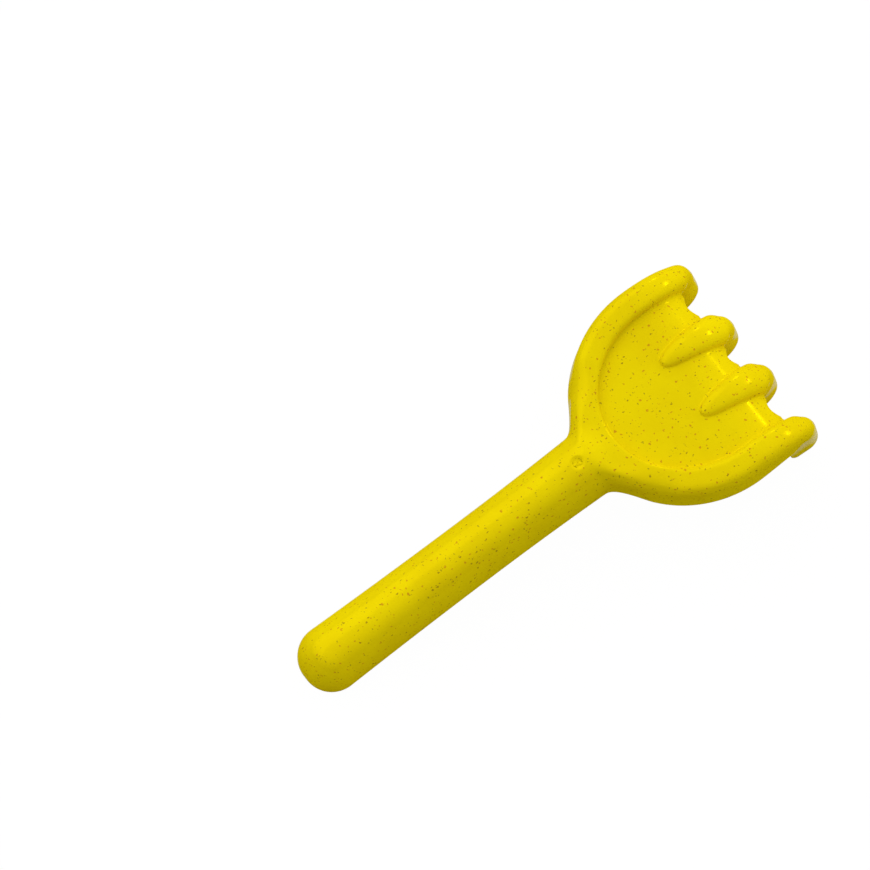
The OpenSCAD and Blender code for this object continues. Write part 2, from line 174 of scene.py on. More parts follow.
def units(ways):
    """Directions at a length of one."""
    return ways / np.maximum(np.linalg.norm(ways, axis=1, keepdims=True), 1e-9)


def lengths_along(line):
    """How far along the line each of its points lies."""
    return np.concatenate([[0], np.cumsum(np.linalg.norm(np.diff(line, axis=0), axis=1))])


def points_at(line, run, at):
    return np.stack([np.interp(at, run, line[:, k]) for k in range(line.shape[1])], axis=1)


def even_points(line, cols):
    """The line's points at even distances."""
    run = lengths_along(line)
    return points_at(line, run, np.linspace(0, run[-1], cols + 1))


def soften(points, labels, spread):
    """The same line with its creases rounded, its two ends kept, and its labels carried along."""
    points = np.array(points, float)
    run = lengths_along(points)
    count = max(int(run[-1] / FINE_STEP), FINE_COUNT)
    at = np.linspace(0, run[-1], count)
    line = points_at(points, run, at)
    label = np.interp(at, run, np.array(labels, float))
    step = run[-1] / (count - 1)
    if step <= 0 or spread <= 0:
        return line, label
    reach = min(int(3 * spread / step) + 1, count - 1)
    weights = np.exp(-0.5 * (np.arange(-reach, reach + 1) * step / spread) ** 2)
    weights /= weights.sum()
    before = 2 * line[0] - line[1 : reach + 1][::-1]
    after = 2 * line[-1] - line[-reach - 1 : -1][::-1]
    padded = np.concatenate([before, line, after])
    smooth = np.stack(
        [np.convolve(padded[:, k], weights, "valid") for k in range(line.shape[1])], axis=1
    )
    smooth[0], smooth[-1] = line[0], line[-1]
    return smooth, label


# Columns across the grip, as steps of its arch: close at the sides, even behind the rim
side_steps = [SIDE_STEPS * (j / SIDE_COLS) ** SIDE_CROWDING for j in range(SIDE_COLS + 1)]
back_steps = [SIDE_STEPS + BACK_STEPS * i / BACK_ROWS for i in range(1, BACK_ROWS)]
arch_turns = [math.pi * s / ARCH_STEPS for s in side_steps + back_steps]
arch_turns += [math.pi - t for t in reversed(arch_turns[: SIDE_COLS + 1])]


# Grip and neck
def grip_half_w(x):
    if x < WAIST_AT:
        return mix(WAIST_W, BUTT_W, ((WAIST_AT - x) / WAIST_AT) ** 2) / 2
    return mix(WAIST_W, NECK_W, ((x - WAIST_AT) / (NECK_X - WAIST_AT)) ** 2) / 2


def grip_top(x):
    return GRIP_H if x < GRIP_LEN else mix(GRIP_H, NECK_H, ease((x - GRIP_LEN) / NECK_LEN))


def arch(x, half_w, h):
    rise = max(h - LIP, 0)
    return [
        (x, half_w * full(math.cos(t), ARCH_POWER), LIP + rise * full(math.sin(t), ARCH_POWER))
        for t in arch_turns
    ]


def butt_arch(x):
    back = limit((BUTT_CORNER_R - x) / BUTT_CORNER_R, 0, 1)
    fall = limit((BUTT_FALL - x) / BUTT_FALL, 0, 1)
    half_w = grip_half_w(x) - BUTT_CORNER_R * (1 - math.sqrt(1 - back * back))
    return arch(x, half_w, grip_top(x) * (1 - fall**FALL_POWER) ** (1 / FALL_POWER))


def grip_sheet():
    turns = [math.pi / 2 * i / BUTT_ROWS for i in range(BUTT_ROWS + 1)]
    butt_xs = [BUTT_CORNER_R * (1 - math.cos(t)) for t in turns]
    long_xs = list(np.linspace(BUTT_CORNER_R, GATE_X - GATE_REACH, GRIP_ROWS))[1:]
    gate_xs = list(np.linspace(GATE_X - GATE_REACH, NECK_X, GATE_ROWS))[1:]
    return np.array([butt_arch(x) for x in butt_xs + long_xs + gate_xs])


# Rim
def quarter(mid, side, low, top, power):
    """Quarter of a fuller oval, from its side up to the top in the middle."""
    turns = [math.pi / 2 * j / QUARTER_STEPS for j in range(QUARTER_STEPS + 1)]
    return [
        (mix(mid, side, full(math.cos(t), power)), mix(low, top, full(math.sin(t), power)))
        for t in turns
    ]


def rim_line(ledge_q, crease, mid, out, low, top, shoulder, base, lean, power, in_power, spread):
    """Section from the ledge over the crown to the base, labelled by the steps of the arch."""
    points = [(ledge_q, low)] + quarter(mid, crease, low, top, in_power)
    points += quarter(mid, out - lean, shoulder, top, power)[-2::-1] + [(out, base)]
    shares = [(SIDE_STEPS - 1) * j / QUARTER_STEPS for j in range(QUARTER_STEPS + 1)]
    labels = [0] + [1 + s for s in shares]
    labels += [2 * SIDE_STEPS - 1 - s for s in shares[-2::-1]] + [2 * SIDE_STEPS]
    line, label = soften(points, labels, spread)
    split = int(np.searchsorted(label, SIDE_STEPS))
    inner = even_points(line[: split + 1], LEDGE_COLS)
    outer = points_at(line, label, np.array([2 * SIDE_STEPS - s for s in reversed(side_steps)]))
    inner[-1] = outer[0]
    return np.concatenate([inner, outer[1:]])


def crown(turn):
    return mix(RIM_H, PANEL_H + RIM_STAND, eased(turn, 0, 90))


def head_point(turn, q, z):
    f = (q - BOWL_HALF_W) / (HEAD_HALF_W - BOWL_HALF_W)
    t = math.radians(turn)
    return (HEAD_X - mix(BOWL_BACK, HEAD_BACK, f) * math.cos(t), q * math.sin(t), z)


def rim_row(turn):
    top = crown(abs(turn))
    line = rim_line(
        BOWL_HALF_W - LEDGE, BOWL_HALF_W, OUTER_TINE_Y, HEAD_HALF_W,
        PANEL_H, top, top - RIM_SHOULDER, LIP, RIM_LEAN,
        mix(RIM_POWER, BEAD_POWER, eased(abs(turn), BEAD_FROM, BEAD_OVER)), IN_POWER,
        mix(BACK_SPREAD, CREASE_SPREAD, eased(abs(turn), 0, BACK_TURN)),
    )
    return [head_point(turn, q, z) for q, z in line]


def rim_sheet():
    return np.array([rim_row(mix(SHOULDER_TURN, 90, i / RIM_ROWS)) for i in range(RIM_ROWS + 1)])


def back_sheet():
    turns = [mix(SHOULDER_TURN, -SHOULDER_TURN, i / BACK_ROWS) for i in range(BACK_ROWS + 1)]
    return np.array([rim_row(t)[: LEDGE_COLS + 1] for t in turns])


def shoulder_ways():
    """Direction in which each column of the shoulder runs into the rim."""
    edge = math.radians(SHOULDER_TURN)
    ways = []
    for s in side_steps + back_steps + [ARCH_STEPS - s for s in reversed(side_steps)]:
        left = s <= ARCH_STEPS / 2
        f = limit((s if left else ARCH_STEPS - s) / SIDE_STEPS, 0, 1)
        side_w = (1 if left else -1) * HEAD_HALF_W
        along = unit(np.array((HEAD_BACK * math.sin(edge), side_w * math.cos(edge), 0)))
        share = limit((s - SIDE_STEPS) / BACK_STEPS, 0, 1)
        t = math.radians(mix(SHOULDER_TURN, -SHOULDER_TURN, share))
        across = unit(np.array((HEAD_BACK * math.cos(t), -HEAD_HALF_W * math.sin(t), 0)))
        ways.append(unit(mix(along, across, ease(f))))
    return ways


def shoulder_sheet(neck_row, rim_first, back):
    """Blend from the neck's end to the rim's outer wall and its crown."""
    side = rim_first[LEDGE_COLS:]
    target = list(side[::-1]) + list(back[1:-1, -1]) + [p * MIRROR for p in side]
    ways = shoulder_ways()
    rows = []
    for i in range(SHOULDER_ROWS + 1):
        f = i / SHOULDER_ROWS
        row = []
        for a, b, way in zip(neck_row, target, ways):
            reach = np.linalg.norm(b - a) * BLEND
            row.append(
                a * (2 * f**3 - 3 * f * f + 1)
                + np.array((1, 0, 0)) * reach * (f**3 - 2 * f * f + f)
                + b * (3 * f * f - 2 * f**3)
                + way * reach * (f**3 - f * f)
            )
        rows.append(row)
    return np.array(rows)


# Tines and webs, placed by their distance along the curl
def curl_at(u):
    return limit(u / CURL_LEN, 0, 1) * CURL_TURN


def curl_point(u, y, r):
    t = math.radians(curl_at(u))
    before, after = min(u, 0), max(u - CURL_LEN, 0)
    return (
        HEAD_X + before + r * math.sin(t) + after * math.cos(t),
        y,
        CURL_Z + r * math.cos(t) - after * math.sin(t),
    )


def tip_size(u):
    t = limit((u - TIP_START) / TIP_LEN, 0, 1)
    return 0 if t > TIP_CLOSED else math.sqrt(1 - t * t)


def stand_r(u):
    bulge = BULGE * math.exp(-(((u - BULGE_AT) / BULGE_W) ** 2))
    return CURL_R + mix(RIM_STAND, TINE_STAND, limit(u / CURL_LEN, 0, 1) ** STAND_POWER) + bulge


def half_w(u, widest, narrow):
    return mix(widest, narrow, eased(u, WEB_LEN, TIP_START - WEB_LEN))


def back_r(u):
    f = limit((u - TIP_END) / BACK_ROUND + 1, 0, 1)
    rise = TIP_RISE * (1 - math.sqrt(1 - f * f))
    return (FLANK_R + rise) / math.cos(math.radians(CURL_TURN - curl_at(u))) + LIP


def flank(u):
    return mix(CURL_R, back_r(u), eased(u, WEB_END, WEB_FILLET))


def round_over(u):
    """Share of the way round the fillet from a web's edge to a tine's side."""
    return math.sin(math.pi / 2 * limit((u - WEB_END) / WEB_FILLET, 0, 1))


def inner_tine_row(u):
    size = tip_size(u)
    tail = limit((u + TAIL_BACK) / TAIL_LEN, 0, 1) ** TAIL_POWER
    w = half_w(u, TINE_HALF_W, TIP_HALF_W) * tail
    stand = (stand_r(u) - CURL_R) * tail
    low_end = TIP_R + LIP
    foot, top = mix(low_end, flank(u), size), mix(low_end, CURL_R + stand, size)
    points = [(mix(STRIP_HALF_W, w, round_over(u)) * size, foot)]
    points += quarter(0, w * size, foot, top, TINE_POWER)
    points += [(-y, r) for y, r in reversed(points[:-1])]
    line, _ = soften(points, range(len(points)), CREASE_SPREAD * size)
    return [curl_point(u, INNER_TINE_Y + y, r) for y, r in even_points(line, TINE_COLS)]


def outer_tine_row(u):
    size, w = tip_size(u), half_w(u, OUTER_TINE_HALF, OUTER_TIP_HALF_W)
    mid = OUTER_TINE_Y - TOE_IN * eased(u, 0, TIP_START)
    lean_in = BACK_LEAN * eased(u, WEB_END, WEB_FILLET)
    low_end = TIP_R + LIP
    top = mix(low_end, stand_r(u), size)
    skirt = min(-CURL_Z / math.cos(math.radians(curl_at(u))) + LIP, back_r(u))
    base, foot = mix(low_end, skirt, size), mix(low_end, flank(u), size)
    shoulder = mix(low_end, stand_r(u) - RIM_SHOULDER, size)
    ledge_w = mix(mid - BOWL_HALF_W + LEDGE, w, round_over(u))
    free = eased(u, WEB_LEN, FREE_OVER)
    root_power = mix(IN_POWER, BEAD_POWER, eased(u, 0, ROOT_OVER))
    line = rim_line(
        mid - ledge_w * size, mid - w * size, mid, mid + (w - lean_in) * size,
        foot, top, shoulder, base, (RIM_LEAN - lean_in) * size,
        mix(BEAD_POWER, TIP_POWER, free), mix(root_power, TIP_POWER, free), CREASE_SPREAD * size,
    )
    return [curl_point(u, q, r) for q, r in line]


web_us = [WEB_END * i / WEB_ROWS for i in range(WEB_ROWS + 1)]
free_us = [WEB_END + WEB_FILLET * (i + 1) / FILLET_ROWS for i in range(FILLET_ROWS)]
free_us += [mix(FILLET_END, TIP_START, (i + 1) / STRAIGHT_ROWS) for i in range(STRAIGHT_ROWS)]
tip_turns = [math.pi / 2 * (i + 1) / TIP_ROWS for i in range(TIP_ROWS)]
free_us += [TIP_START + TIP_LEN * math.sin(t) for t in tip_turns]
strip_us = [-TAIL_BACK - LEDGE * (1 - i / LEDGE_ROWS) for i in range(LEDGE_ROWS)]
strip_us += [-TAIL_BACK * (1 - (i / TAIL_ROWS) ** 2) for i in range(TAIL_ROWS)]


def web_sheet(low_y, high_y, cols):
    rows = []
    for i in range(WEB_ROWS + 1):
        row = []
        for j in range(cols + 1):
            y = mix(high_y, low_y, j / cols)
            across = (2 * y - low_y - high_y) / (high_y - low_y)
            reach = WEB_LEN + WEB_RISE * across**2 - LIP * (1 - across**2)
            row.append(curl_point(reach * i / WEB_ROWS, y, CURL_R))
        rows.append(row)
    return np.array(rows)


def panel_sheet(rim, back, strip, side_web, middle_web):
    """Flat panel inside the ledge, filled with even small triangles."""
    ledge = list(rim[::-1, 0]) + list(back[1:-1, 0]) + [p * MIRROR for p in rim[:, 0]]
    half = list(side_web[0]) + list(strip[STRIP_ROWS - 1 : 0 : -1, 0]) + list(strip[0])
    half += list(strip[1:STRIP_ROWS, -1])
    right = [p * MIRROR for p in half]
    loop = ledge + right[1:] + list(middle_web[0])[::-1] + half[:0:-1]
    flat = [Vector((p[0], p[1])) for p in loop]
    edge = np.array([(p[0], p[1]) for p in loop])
    inside = []
    for x in np.arange(HEAD_X - BOWL_BACK - 1, HEAD_X, PANEL_STEP):
        for y in np.arange(-BOWL_HALF_W, BOWL_HALF_W + 0.1, PANEL_STEP):
            if np.min(np.hypot(edge[:, 0] - x, edge[:, 1] - y)) > PANEL_CLEAR:
                inside.append(Vector((x, y)))
    out = delaunay_2d_cdt(flat + inside, [], [list(range(len(flat)))], 1, 1e-5)
    return np.array([(v.x, v.y, PANEL_H) for v in out[0]]), [list(f) for f in out[2]]


# The shell's outer face, its smoothing, its inner face and its lip
def grid_faces(rows, cols, start):
    first = (np.arange(rows - 1)[:, None] * cols + np.arange(cols - 1)[None, :]).ravel() + start
    return np.stack([first, first + 1, first + cols + 1, first + cols], axis=1).tolist()


def welded(points, faces):
    """The same sheet with its seams merged and all its faces turned to the outside."""
    mesh = bpy.data.meshes.new("sheet")
    mesh.from_pydata(points.tolist(), [], faces)
    bm = bmesh.new()
    bm.from_mesh(mesh)
    bpy.data.meshes.remove(mesh)
    bmesh.ops.remove_doubles(bm, verts=bm.verts, dist=WELD_DIST)
    bmesh.ops.dissolve_degenerate(bm, edges=bm.edges, dist=TINY_EDGE)
    bmesh.ops.delete(bm, geom=[v for v in bm.verts if not v.link_faces], context="VERTS")
    bmesh.ops.recalc_face_normals(bm, faces=bm.faces)
    if sum(f.normal.z * f.calc_area() for f in bm.faces) < 0:
        bmesh.ops.reverse_faces(bm, faces=bm.faces)
    bm.verts.ensure_lookup_table()
    bm.verts.index_update()
    verts = np.array([v.co[:] for v in bm.verts])
    faces = [[v.index for v in f.verts] for f in bm.faces]
    bm.free()
    return verts, faces


def joined_sheet():
    """The shell's outer face as one sheet, and the seam between the shoulder and the rim."""
    grip = grip_sheet()
    rim = rim_sheet()
    back = back_sheet()
    shoulder = shoulder_sheet(grip[-1], rim[0], back)
    strip = np.array([inner_tine_row(u) for u in strip_us + web_us + free_us])
    outer = np.array([outer_tine_row(u) for u in web_us + free_us])
    gap_y = INNER_TINE_Y + STRIP_HALF_W
    middle_y = INNER_TINE_Y - STRIP_HALF_W
    side_web = web_sheet(gap_y, BOWL_HALF_W - LEDGE, WEB_COLS_SIDE)
    middle_web = web_sheet(-middle_y, middle_y, WEB_COLS_MIDDLE)
    sheets = [grip, back, shoulder, middle_web]
    for sheet in (rim, outer, strip, side_web):
        sheets += [sheet, sheet * MIRROR]
    points, faces, start = [], [], 0
    for sheet in sheets:
        rows, cols = sheet.shape[:2]
        points.append(sheet.reshape(-1, 3))
        faces += grid_faces(rows, cols, start)
        start += rows * cols
    panel_points, panel_faces = panel_sheet(rim, back, strip, side_web, middle_web)
    points.append(panel_points)
    faces += [[v + start for v in f] for f in panel_faces]
    verts, faces = welded(np.concatenate(points), faces)
    return verts, faces, np.concatenate([shoulder[-1], back[0], back[-1]])


def point_normals(verts, faces):
    normals = np.zeros_like(verts)
    for size in sorted({len(f) for f in faces}):
        group = np.array([f for f in faces if len(f) == size])
        first = verts[group[:, 0]]
        n = sum(
            np.cross(verts[group[:, k]] - first, verts[group[:, k + 1]] - first)
            for k in range(1, size - 1)
        )
        for k in range(size):
            np.add.at(normals, group[:, k], n)
    return units(normals)


def neighbour_pairs(faces):
    pairs = set()
    for f in faces:
        for a, b in zip(f, f[1:] + f[:1]):
            pairs.add((min(a, b), max(a, b)))
    return np.array(sorted(pairs))


def relax(values, pairs, amount, rounds):
    """Each value moved towards the mean of its neighbours, by its own amount."""
    values = values.copy()
    count = np.zeros(len(values))
    np.add.at(count, pairs[:, 0], 1)
    np.add.at(count, pairs[:, 1], 1)
    for _ in range(rounds):
        total = np.zeros_like(values)
        np.add.at(total, pairs[:, 0], values[pairs[:, 1]])
        np.add.at(total, pairs[:, 1], values[pairs[:, 0]])
        values += amount[:, None] * (total / count[:, None] - values)
    return values


def border_loops(faces):
    """Points of each free border of the sheet in order, with the sheet on the left."""
    used = {}
    for f in faces:
        for a, b in zip(f, f[1:] + f[:1]):
            used[(a, b)] = used.get((a, b), 0) + 1
    follow = {a: b for a, b in used if (b, a) not in used}
    loops = []
    while follow:
        at, loop = next(iter(follow)), []
        while at in follow:
            loop.append(at)
            at = follow.pop(at)
        loops.append(loop)
    return loops


def distance_to(verts, targets):
    """Distance from each point to the nearest of every second target."""
    return np.min(np.linalg.norm(verts[:, None, :] - targets[None, ::2, :], axis=2), axis=1)


def even_directions(ways):
    """Unit directions round a closed line, each evened out with its neighbours."""
    for _ in range(3):
        ways = units(ways)
        ways = ways + 0.5 * (np.roll(ways, 1, axis=0) + np.roll(ways, -1, axis=0))
    return units(ways)


def bowl(r):
    """Depth of the dimple at a share of its radius, from one at the middle to none outside."""
    f = np.clip(1 - r * r, 0, 1)
    return np.sqrt(f * f + BOWL_SOFT**2) - BOWL_SOFT


def smoothed_sheet(verts, pairs, free, seam):
    """The outer face with a soft shoulder, the neck's ridge and the gate's dimple."""
    # The shoulder runs into the rim without an edge, and the rim's inner crease stays crisp
    turns = np.linspace(-math.pi / 2, math.pi / 2, CREASE_POINTS)
    crease = np.stack(
        [HEAD_X - BOWL_BACK * np.cos(turns), BOWL_HALF_W * np.sin(turns), 0 * turns], axis=1
    )
    away = np.clip((distance_to(verts * (1, 1, 0), crease) - CREASE_KEEP) / CREASE_FADE, 0, 1)
    near = np.clip(1 - distance_to(verts, seam) / SEAM_REACH, 0, 1)
    amount = SEAM_PULL * free * away * near * near * (3 - 2 * near)
    verts = relax(verts, pairs, amount, SEAM_ROUNDS)
    spot = np.hypot(verts[:, 0] - NECK_X - THROAT_AHEAD, verts[:, 1])
    throat = np.clip(1 - spot / THROAT_R, 0, 1)
    amount = THROAT_PULL * free * away * throat * throat * (3 - 2 * throat)
    verts = relax(verts, pairs, amount, THROAT_ROUNDS)
    # The neck's ridge runs on to the crease between two valleys
    along, aside = ((verts[:, 0] - VALLEY_X) / VALLEY_W) ** 2, np.abs(verts[:, 1])
    rise = RIDGE * np.exp(-along - (aside / VALLEY_W) ** 2)
    rise -= VALLEY * np.exp(-along - ((aside - VALLEY_Y) / VALLEY_W) ** 2)
    verts[:, 2] += rise * away * (verts[:, 2] > RIDGE_FLOOR)
    root = np.abs(verts[:, 0] - HEAD_X - ROOT_AHEAD) < ROOT_REACH
    verts = relax(verts, pairs, ROOT_PULL * free * root, ROOT_ROUNDS)
    # Gate dimple with a soft edge
    r = np.hypot(verts[:, 0] - GATE_X, verts[:, 1]) / (GATE_D / 2)
    verts[:, 2] -= GATE_DEPTH * bowl(r) * (verts[:, 2] > GATE_FLOOR)
    return verts


def shell_mesh():
    """Both faces of the wall and the rounded lip that joins them along the free border."""
    verts, faces, seam = joined_sheet()
    pairs = neighbour_pairs(faces)
    loops = border_loops(faces)
    border = np.array(max(loops, key=len))
    free = np.ones(len(verts))
    for loop in loops:
        free[loop] = 0
    verts = smoothed_sheet(verts, pairs, free, seam)
    normals = point_normals(verts, faces)
    facing = even_directions(normals[border])
    inward = units(relax(normals, pairs, INNER_PULL * free, INNER_WAY_ROUNDS))
    inward[border] = facing
    inner = relax(verts - WALL * inward, pairs, INNER_PULL * free, INNER_ROUNDS)
    # Rounded lip, ring by ring from the outer face to the inner
    out = even_directions(
        np.cross(units(verts[np.roll(border, -1)] - verts[np.roll(border, 1)]), facing)
    )
    profile = [(math.sin(t), LIP * (1 - math.cos(t))) for t in LIP_TURNS[1:]]
    profile += [(reach, WALL - drop) for reach, drop in reversed(profile)]
    rings, points, start = [border], [verts], len(verts)
    for reach, drop in profile:
        points.append(verts[border] + out * LIP * reach - facing * drop)
        rings.append(np.arange(start, start + len(border)))
        start += len(border)
    points.append(inner)
    rings.append(border + start)
    all_faces = list(faces)
    all_faces += [[v + start for v in reversed(f)] for f in faces]
    for near_ring, far_ring in zip(rings, rings[1:]):
        a, b = near_ring, np.roll(near_ring, -1)
        c, d = far_ring, np.roll(far_ring, -1)
        all_faces += np.stack([b, a, c, d], axis=1).tolist()
    return np.concatenate(points), all_faces


def squeezed(values, high):
    """Values drawn in smoothly, over the last few millimetres, so that none passes the limit."""
    over = max(values.max() - high, 0)
    return values - over * (np.maximum(values - high + DRAW_IN, 0) / (over + DRAW_IN)) ** 2


def at_rest(points):
    """Points in the tool's own frame, in millimetres, laid on the table in metres."""
    t = math.radians(REST_TILT)
    x, y, z = points[:, 0], points[:, 1], points[:, 2]
    laid = (x * math.cos(t) - z * math.sin(t), y, x * math.sin(t) + z * math.cos(t))
    drawn_in = [squeezed(values / 1000, high) for values, high in zip(laid, cad_box[1])]
    return np.clip(np.stack(drawn_in, axis=1), cad_box[0], cad_box[1])


def mesh_object(name, points, faces, material, smooth=True):
    mesh = bpy.data.meshes.new(name)
    mesh.from_pydata(points.tolist(), [], faces)
    mesh.validate()
    mesh.polygons.foreach_set("use_smooth", [smooth] * len(mesh.polygons))
    mesh.materials.append(material)
    obj = bpy.data.objects.new(name, mesh)
    bpy.context.scene.collection.objects.link(obj)
    return obj


# Nodes of materials, of the world and of Geometry Nodes
def wire(tree, value, socket):
    """Link from another node's output, or else a plain value."""
    if hasattr(value, "links"):
        tree.links.new(value, socket)
    else:
        socket.default_value = value


def new_node(tree, kind, inputs=None, **settings):
    """A node with its settings, and its inputs by name or number."""
    n = tree.nodes.new(kind)
    for key, value in settings.items():
        setattr(n, key, value)
    for key, value in (inputs or {}).items():
        wire(tree, value, n.inputs[key])
    return n


def math_node(tree, kind, *values):
    return new_node(tree, "ShaderNodeMath", dict(enumerate(values)), operation=kind).outputs[0]


def ramp(tree, value, low, high, a=0.0, b=1.0):
    """Value carried from one range to another, and kept inside it."""
    given = {"Value": value, "From Min": low, "From Max": high, "To Min": a, "To Max": b}
    return new_node(tree, "ShaderNodeMapRange", given).outputs["Result"]


# Glossy yellow plastic with coloured specks
YELLOW, YELLOW_DEEP = (0.86, 0.685, 0.0018), (0.82, 0.635, 0.0018)
SPECK_BROWN = (0.18, 0.07, 0.01)
SPECK_GREEN = (0.21, 0.17, 0.012)
SPECK_ORANGE = (0.55, 0.19, 0.01)

# Specks by colour, strength, cell and size in millimetres, share of cells, turn and stretch
SPECKS = (
    (SPECK_GREEN, 0.6, 2.0, 0.54, 0.24, (0.9, 0.1, 0.7), (2.0, 1, 1)),
    (SPECK_ORANGE, 0.72, 1.9, 0.58, 0.40, (0.2, 1.1, 1.3), (1, 1, 1.9)),
    (SPECK_BROWN, 0.65, 1.8, 0.56, 0.30, (0.3, 0.5, 0.2), (1, 2.0, 1)),
)
WOBBLE_SCALE, WOBBLE_M = 1300, 0.0012
SMALLEST_SPECK, SPECK_EDGE = 0.35, 0.15

# Grain of the tone, the roughness and the bump, and the gloss of what is seen nearly edge on
TONE_GRAIN, ROUGH_GRAIN, BUMP_GRAIN = 60, 140, 420
ROUGH_LOW, ROUGH_HIGH, BUMP_STRENGTH, BUMP_M = 0.16, 0.21, 0.035, 0.0004
GLOSS_FROM, GLOSS_TO, EDGE_GLOSS, GLOSS_TINT = 0.89, 0.98, 0.1, (1, 0.86, 0.05, 1)
METALLIC, IOR = 0.08, 1.46


def speckled_plastic():
    material = bpy.data.materials.new("speckled_plastic")
    material.use_nodes = True
    tree = material.node_tree
    place = new_node(tree, "ShaderNodeTexCoord").outputs["Object"]

    def noise(scale, detail):
        given = {"Scale": scale, "Detail": detail, "Vector": place}
        return new_node(tree, "ShaderNodeTexNoise", given).outputs["Fac"]

    def colour_mix(factor, under, over):
        given = {"Factor": factor, 6: under, 7: over}
        return new_node(tree, "ShaderNodeMix", given, data_type="RGBA").outputs[2]

    # Uneven outlines for the specks
    wobble = new_node(tree, "ShaderNodeTexNoise", {"Scale": WOBBLE_SCALE, "Vector": place})
    uneven = new_node(
        tree, "ShaderNodeVectorMath", {0: wobble.outputs["Color"], 1: (WOBBLE_M,) * 3, 2: place},
        operation="MULTIPLY_ADD",
    )

    def specks(cell_mm, size, share, turn, stretch):
        """Small flecks in some cells of a random lattice, drawn out along one direction."""
        given = {"Rotation": turn, "Scale": stretch, "Vector": uneven.outputs["Vector"]}
        spot = new_node(tree, "ShaderNodeMapping", given).outputs["Vector"]
        given = {"Scale": 1000 / cell_mm, "Vector": spot}
        cells = new_node(tree, "ShaderNodeTexVoronoi", given)
        pick = new_node(tree, "ShaderNodeSeparateColor", {"Color": cells.outputs["Color"]})
        chosen = math_node(tree, "LESS_THAN", pick.outputs["Red"], share)
        wide = ramp(tree, pick.outputs["Green"], 0, 1, SMALLEST_SPECK, 1.0)
        wide = math_node(tree, "MULTIPLY", wide, size / cell_mm)
        inside = math_node(tree, "SUBTRACT", wide, cells.outputs["Distance"])
        shown = ramp(tree, inside, 0, SPECK_EDGE * size / cell_mm, 0, 1)
        return math_node(tree, "MULTIPLY", chosen, shown)

    tone = ramp(tree, noise(TONE_GRAIN, 3), 0.35, 0.65)
    base = colour_mix(tone, (*YELLOW, 1), (*YELLOW_DEEP, 1))
    for colour, strength, *kind in SPECKS:
        base = colour_mix(math_node(tree, "MULTIPLY", specks(*kind), strength), base, (*colour, 1))
    given = {"Strength": BUMP_STRENGTH, "Distance": BUMP_M, "Height": noise(BUMP_GRAIN, 2)}
    bump = new_node(tree, "ShaderNodeBump", given).outputs["Normal"]
    # Gloss where the surface is nearly edge on, as on the straight fronts of the tines
    edge_on = new_node(tree, "ShaderNodeLayerWeight", {"Blend": 0.5}).outputs["Facing"]
    shader = tree.nodes["Principled BSDF"]
    for key, value in {
        "Base Color": base,
        "Roughness": ramp(tree, noise(ROUGH_GRAIN, 4), 0.3, 0.7, ROUGH_LOW, ROUGH_HIGH),
        "Normal": bump,
        "Metallic": METALLIC,
        "IOR": IOR,
        "Specular IOR Level": ramp(tree, edge_on, GLOSS_FROM, GLOSS_TO, 0.0, EDGE_GLOSS),
        "Specular Tint": GLOSS_TINT,
    }.items():
        wire(tree, value, shader.inputs[key])
    return material


plastic = speckled_plastic()

shell_points, shell_faces = shell_mesh()
shell = mesh_object("rake_shell", at_rest(shell_points), shell_faces, plastic)
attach(shell, "root")
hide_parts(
    "grip", "neck", "shoulder", "rim_back", "rim_left", "rim_right", "panel", "web_left",
    "web_middle", "web_right", "outer_tine_left", "inner_tine_left", "inner_tine_right",
    "outer_tine_right",
)


# Cross ribs under the grip
def rib_plate():
    """One rib at the waist's width, sunk a little into the wall, with a rounded lower edge."""
    outline = []
    for j in range(RIB_COLS + 1):
        t = math.pi * j / RIB_COLS
        y = (WAIST_W / 2 - RIB_INSET) * full(math.cos(t), ARCH_POWER)
        outline.append((y, max((GRIP_H - RIB_INSET) * full(math.sin(t), ARCH_POWER), RIB_RISE)))
    count = len(outline)
    layers = [(LIP * (1 - math.cos(t)), LIP * (1 - math.sin(t))) for t in LIP_TURNS]
    layers += [(RIB_T - x, up) for x, up in reversed(layers)]
    points = [(x, y, z + (up if z <= RIB_RISE else 0)) for x, up in layers for y, z in outline]
    faces = [list(range(count))[::-1], list(range(len(points) - count, len(points)))]
    for i in range(len(layers) - 1):
        for j in range(count):
            a, b = i * count + j, i * count + (j + 1) % count
            faces.append([a, b, b + count, a + count])
    return np.array(points) / 1000, faces


